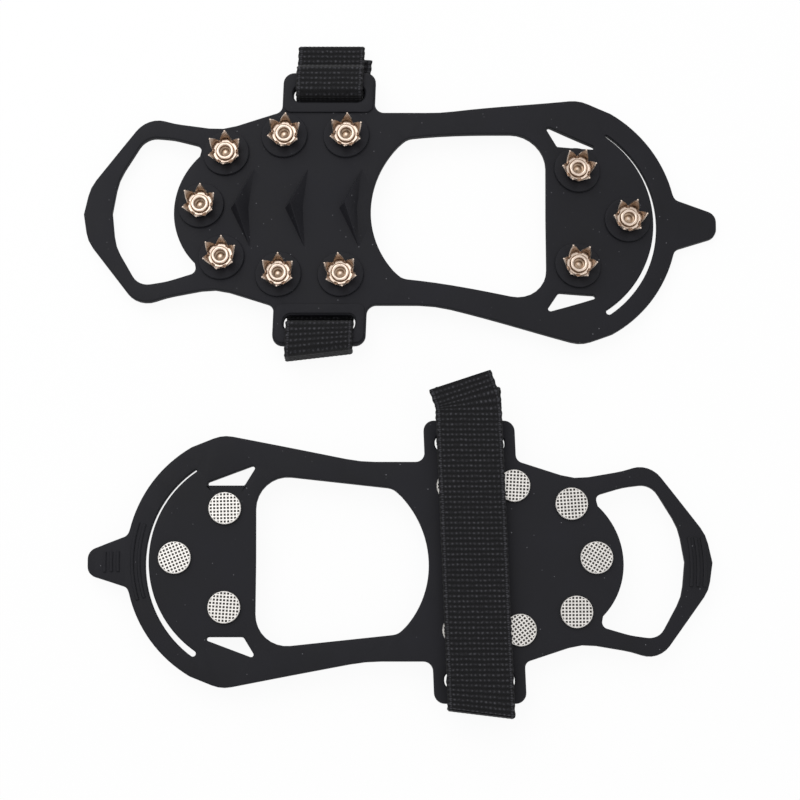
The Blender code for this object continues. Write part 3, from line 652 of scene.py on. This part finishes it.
def rivetMesh(turn):
    r = rivetShape
    bm = bmesh.new()
    top = r["seat"] + r["flareHigh"]
    under = r["collar"] - r["headThick"]  # the foot face of the head
    middle = (r["flare"] + r["bore"]) / 2
    roll = (r["flare"] - r["bore"]) / 2
    profile = [(0.0, top - 1.45), (0.8, top - 1.55), (1.6, top - 1.85), (r["bore"], top - 1.6),
               (r["bore"], top - 0.6)]
    for k in range(9):
        a = math.pi - math.pi * k / 8
        profile.append((middle + roll * math.cos(a), top - 0.35 + 0.35 * math.sin(a)))
    profile += [(r["flare"] - 0.05, r["seat"]), (r["shank"], r["seat"]), (r["shank"], r["collar"]),
                (r["head"] - 0.25, r["collar"]), (r["head"], r["collar"] - 0.12),
                (r["head"], under + 0.3), (r["head"] - 0.2, under + 0.08), (r["head"] - 0.4, under + 0.08),
                (r["head"] - 0.4, under + 0.45), (0.0, under + 0.45)]
    spunProfile(bm, profile, 40)
    bmesh.ops.recalc_face_normals(bm, faces=bm.faces)
    for face in bm.faces:
        face.material_index = 1 if face.calc_center_median().z > 1.0 else 0
    # painted shade: the bore is set lower, so the flare's nickel turns dark down it
    wear = bm.verts.layers.float.new("wear")
    for v in bm.verts:
        inBore = math.hypot(v.co.x, v.co.y) < r["bore"] + 0.05 and v.co.z > 1.0
        v[wear] = 0.35 if inBore and v.co.z < top - 1.55 else 0.95
    # the knurled face of the head: a grid of cells with a pit punched in each, trimmed round
    face = bmesh.new()
    cells = 11
    size = r["knurl"] * cells / 2
    bmesh.ops.create_grid(face, x_segments=cells, y_segments=cells, size=size)
    made = bmesh.ops.inset_individual(face, faces=face.faces, thickness=r["pit"], depth=0.0)
    pits = [f for f in face.faces if f not in set(made["faces"])]
    bmesh.ops.inset_individual(face, faces=pits, thickness=r["pitSlope"], depth=-r["pitDeep"])
    # painted shade: pit floors get 0 and turn dark, the cell tops get 1
    faceShading = face.verts.layers.float.new("wear")
    for v in face.verts:
        v[faceShading] = 1.0 if v.co.z > -0.01 else 0.0
    bmesh.ops.rotate(face, verts=face.verts, cent=(0, 0, 0), matrix=Matrix.Rotation(turn, 3, "Z"))
    rim = r["head"] - 0.22
    for k in range(40):
        a = 2 * math.pi * (k + 0.5) / 40
        out = Vector((math.cos(a), math.sin(a), 0.0))
        geom = list(face.verts) + list(face.edges) + list(face.faces)
        bmesh.ops.bisect_plane(face, geom=geom, dist=1e-4, plane_co=out * rim * math.cos(math.pi / 40),
                               plane_no=out, clear_outer=True)
    edges = [e for e in face.edges if e.is_boundary]
    skirt = bmesh.ops.extrude_edge_only(face, edges=edges)["geom"]
    low = [v for v in skirt if isinstance(v, bmesh.types.BMVert)]
    for v in low:
        v[faceShading] = 0.9
        v.co.z = -0.5
    bmesh.ops.contextual_create(face, geom=[e for e in skirt if isinstance(e, bmesh.types.BMEdge)])
    bmesh.ops.rotate(face, verts=face.verts, cent=(0, 0, 0), matrix=Matrix.Rotation(math.pi, 3, "X"))
    bmesh.ops.translate(face, verts=face.verts, vec=(0.0, 0.0, under))
    bmesh.ops.recalc_face_normals(face, faces=face.faces)
    spare = bpy.data.meshes.new("knurl")
    face.to_mesh(spare)
    face.free()
    bm.from_mesh(spare)
    bpy.data.meshes.remove(spare)
    return bm


def standStud(bm, cleat, x, y):
    slope = (sagAt(cleat, x + 1.0) - sagAt(cleat, x - 1.0)) / 2.0
    facing = Matrix.Rotation(math.atan(slope) + (math.pi if cleat["flipped"] else 0.0), 3, "Y")
    foot = place(cleat, (x, y, 0.0))
    for v in bm.verts:
        v.co = foot + (facing @ v.co) * mm


for tag, cleat in cleats.items():
    turns = random.Random(cleat["seed"])
    knurls = random.Random(cleat["seed"] + 100)
    for number, (x, y) in enumerate(studSpots, 1):
        turn = math.radians((90.0 if x < 0 else 60.0) + turns.uniform(-9.0, 9.0))
        crown = crownMesh(turn)
        standStud(crown, cleat, x, y)
        piece = finish(f"cleat_{tag}_spiked_crown_{number}", crown, nickel, smoothAngle=38.0)
        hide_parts(f"cleat_{tag}_crown_{number}")
        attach(piece, f"cleat_{tag}")
        rivet = rivetMesh(math.radians(knurls.uniform(-40.0, 40.0)))
        standStud(rivet, cleat, x, y)
        piece = finish(f"cleat_{tag}_knurled_rivet_{number}", rivet, steel, smoothAngle=38.0)
        piece.data.materials.append(nickel)
        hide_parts(f"cleat_{tag}_rivet_{number}")
        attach(piece, f"cleat_{tag}")
print("studs standing")


strapShape = {"wide": 25.0, "thick": 1.15, "ribDeep": 0.13, "dotHigh": 0.09, "columns": 58, "stepLong": 0.4,
              "foldSlant": 0.12, "slantFrom": -44.6, "hemY": 34.6, "slotY": 44.5, "barY": 54.5, "crestY": 57.1,
              "loopY": 65.6, "footSide": -1.0, "underSide": -2.7, "studSide": 4.2, "foldEnd": -3.65,
              "tailSide": -4.4, "bend": 1.6, "slotBend": 1.3, "loopBend": 0.83, "foldBend": 1.7}


def ribbonMesh(cleat, path):
    # a flat grid gets its thickness and ribs, and is laid along path, a list of (centre, along, up)
    s = strapShape
    lengths = [0.0]
    for k in range(1, len(path)):
        lengths.append(lengths[-1] + (path[k][0] - path[k - 1][0]).length)
    total = lengths[-1]
    rows = int(total / s["stepLong"])
    bm = bmesh.new()
    bmesh.ops.create_grid(bm, x_segments=s["columns"], y_segments=rows, size=0.5)
    bmesh.ops.scale(bm, verts=bm.verts, vec=(s["wide"], total, 1.0))
    bmesh.ops.translate(bm, verts=bm.verts, vec=(0.0, total / 2, -s["thick"] / 2))
    made = bmesh.ops.extrude_face_region(bm, geom=list(bm.faces), use_keep_orig=True)
    top = [part for part in made["geom"] if isinstance(part, bmesh.types.BMVert)]
    bmesh.ops.translate(bm, verts=top, vec=(0.0, 0.0, s["thick"]))
    bmesh.ops.recalc_face_normals(bm, faces=bm.faces)
    cloth = bm.loops.layers.uv.new("cloth")
    for face in bm.faces:
        for loop in face.loops:
            loop[cloth].uv = (loop.vert.co.x, loop.vert.co.y)
    half = s["wide"] / 2
    at = 0
    for v in sorted(bm.verts, key=lambda v: v.co.y):
        across, along, side = v.co.x, v.co.y, 1.0 if v.co.z > 0 else -1.0
        while at < len(lengths) - 2 and lengths[at + 1] < along:
            at += 1
        t = (along - lengths[at]) / max(1e-9, lengths[at + 1] - lengths[at])
        t = min(1.0, max(0.0, t))
        centre = path[at][0].lerp(path[at + 1][0], t)
        ahead = path[at][1].lerp(path[at + 1][1], t).normalized()
        up = path[at][2].lerp(path[at + 1][2], t).normalized()
        out = ahead.cross(up).normalized()
        rib = 0.5 + 0.5 * math.cos(2 * math.pi * along / webbingLook["ribPitch"])
        dot = 0.5 + 0.5 * math.cos(2 * math.pi * across / webbingLook["dotPitch"])
        lift = s["ribDeep"] * (rib - 0.6) + s["dotHigh"] * rib * dot
        rim = min(1.0, (half - abs(across)) / 0.9)
        high = side * (s["thick"] / 2 * (0.35 + 0.65 * math.sqrt(max(0.0, 1 - (1 - rim) ** 2))) + lift * rim)
        fray = 0.12 * math.sin(along * 2.1) * (1 - rim)
        p = centre + out * (across + (fray if across > 0 else -fray)) + up * high
        p.y = slanted(cleat, p.x, p.y)
        v.co = p
    return bm


def slanted(cleat, x, y):
    # the fold at the second tab lies a little askew
    start = strapShape["slantFrom"]
    share = min(1.0, max(0.0, (start - y) / (start - cleat["foldY"])))
    return y + strapShape["foldSlant"] * (x - layout["tabX"]) * share


def strapPath(cleat):
    s = strapShape
    loopEnd = s["loopY"] - 0.7
    # hem, round the first tab's bar, back under the pad, then up through the second tab's slot and round its bar
    corners = [(s["hemY"], s["footSide"], 0), (s["slotY"], s["footSide"], s["slotBend"]),
               (s["slotY"], s["studSide"], s["bend"]), (s["barY"], s["studSide"], s["bend"]),
               (s["crestY"], s["footSide"], s["bend"]), (loopEnd, s["footSide"], s["loopBend"]),
               (loopEnd, s["underSide"], s["loopBend"]), (-s["slotY"], s["underSide"], s["slotBend"]),
               (-s["slotY"], s["studSide"], s["bend"]), (cleat["foldY"], s["studSide"], s["foldBend"]),
               (cleat["foldY"], s["foldEnd"], 0)]
    points = rounded([(y, z, radius) for y, z, radius in corners], 10)
    path = []
    for k in range(len(points)):
        before = (points[k] - points[k - 1]).normalized() if k else (points[1] - points[0]).normalized()
        after = (points[k + 1] - points[k]).normalized() if k + 1 < len(points) else before
        along = (before + after).normalized()
        centre = Vector((layout["tabX"], points[k].x, points[k].y))
        ahead = Vector((0.0, along.x, along.y))
        path.append((centre, ahead, ahead.cross(Vector((-1.0, 0.0, 0.0)))))
    return path


def tailPath(cleat):
    side = strapShape["tailSide"]
    straight = cleat["turnY"] - cleat["foldY"]
    spots = [Vector((layout["tabX"], cleat["foldY"] + straight * k / 20, side)) for k in range(21)]
    ways = [Vector((0.0, 1.0, 0.0))] * 21
    x, y = layout["tabX"], cleat["turnY"]
    steps = 16
    stride = (cleat["tailEnd"] - cleat["turnY"]) / steps
    for k in range(1, steps + 1):
        heading = math.radians(cleat["tailTurn"]) * min(1.0, 2.2 * k / steps)
        x -= math.sin(heading) * stride
        y += math.cos(heading) * stride
        spots.append(Vector((x, y, side)))
        ways.append(Vector((-math.sin(heading), math.cos(heading), 0.0)))
    return [(spot, way, Vector((0.0, 0.0, 1.0))) for spot, way in zip(spots, ways)]


for tag, cleat in cleats.items():
    lengths = ((f"cleat_{tag}_webbing", strapPath(cleat), f"cleat_{tag}_strap", f"cleat_{tag}"),
               (f"cleat_{tag}_webbing_tail", tailPath(cleat), f"cleat_{tag}_strap_tail", f"strap_tail_{tag}"))
    for name, path, solid, body in lengths:
        bm = ribbonMesh(cleat, path)
        for v in bm.verts:
            v.co = place(cleat, v.co)
        bmesh.ops.recalc_face_normals(bm, faces=bm.faces)
        piece = finish(name, bm, webbing, smoothAngle=60.0)
        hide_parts(solid)
        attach(piece, body)
print("webbing woven")


studio = {"floor": "#f4f4f4", "floorSize": 3.0, "floorZ": -0.0003, "white": "#ffffff", "glow": 0.93,
          "world": 0.62, "keyPower": 6.5, "keySize": 1.1, "keyAt": (-0.45, 0.55, 0.8),
          "fillPower": 2.2, "fillSize": 1.3, "fillAt": (0.7, -0.4, 0.9)}


def seenRays(tree):
    # 1 for what the camera sees directly, in a reflection or through glass
    rays = addNode(tree, "ShaderNodeLightPath").outputs
    seen = rays["Is Camera Ray"]
    for ray in ("Is Glossy Ray", "Is Transmission Ray"):
        seen = addNode(tree, "ShaderNodeMath", {"operation": "MAXIMUM"}, in0=seen, in1=rays[ray]).outputs[0]
    return seen


floorMesh = bmesh.new()
bmesh.ops.create_grid(floorMesh, x_segments=1, y_segments=1, size=studio["floorSize"])
floorMaterial, tree, shader = newMaterial("studioFloor", Roughness=0.9)
shader.inputs["Base Color"].default_value = hexColour(studio["floor"])
# the floor is near white to the camera and in reflections, and keeps a trace of the shadow
share = addNode(tree, "ShaderNodeMath", {"operation": "MULTIPLY"}, in0=seenRays(tree), in1=studio["glow"])
white = addNode(tree, "ShaderNodeEmission", Color=hexColour(studio["white"]), Strength=1.0)
blend = addNode(tree, "ShaderNodeMixShader", in0=share, in1=shader, in2=white)
tree.links.new(blend.outputs[0], tree.nodes["Material Output"].inputs["Surface"])
floor = finish("studio_floor", floorMesh, floorMaterial)
floor.location.z = studio["floorZ"]

world = bpy.data.worlds.new("studio")
bpy.context.scene.world = world
world.use_nodes = True
tree = world.node_tree
back = tree.nodes["Background"]
back.inputs["Color"].default_value = hexColour(studio["white"])
strength = addNode(tree, "ShaderNodeMapRange", Value=seenRays(tree), in3=studio["world"], in4=1.0)
tree.links.new(strength.outputs[0], back.inputs["Strength"])


def areaLight(name, power, size, spot):
    # an area light that faces the origin
    data = bpy.data.lights.new(name, "AREA")
    data.energy = power
    data.size = size
    lamp = bpy.data.objects.new(name, data)
    lamp.location = spot
    lamp.rotation_euler = (-Vector(spot)).to_track_quat("-Z", "Y").to_euler()
    bpy.context.scene.collection.objects.link(lamp)


areaLight("keyLamp", studio["keyPower"], studio["keySize"], studio["keyAt"])
areaLight("fillLamp", studio["fillPower"], studio["fillSize"], studio["fillAt"])

cameraView = {"sensor": 36.0, "lens": 75.0, "shiftY": 0.3486, "tilt": 5.0, "distance": 0.625,
              "aim": (0.00002, -0.1111, 0.0)}
camera = bpy.data.cameras.new("photographer")
camera.sensor_width = cameraView["sensor"]
camera.lens = cameraView["lens"]
camera.shift_y = cameraView["shiftY"]
cameraObject = bpy.data.objects.new("photographer", camera)
tilt = math.radians(cameraView["tilt"])
aim = Vector(cameraView["aim"]) + shift
cameraObject.location = aim + Vector((0.0, -math.sin(tilt), math.cos(tilt))) * cameraView["distance"]
cameraObject.rotation_euler = (tilt, 0.0, 0.0)
bpy.context.scene.collection.objects.link(cameraObject)
bpy.context.scene.camera = cameraObject
bpy.context.scene.view_settings.view_transform = "Standard"
print("studio lit")
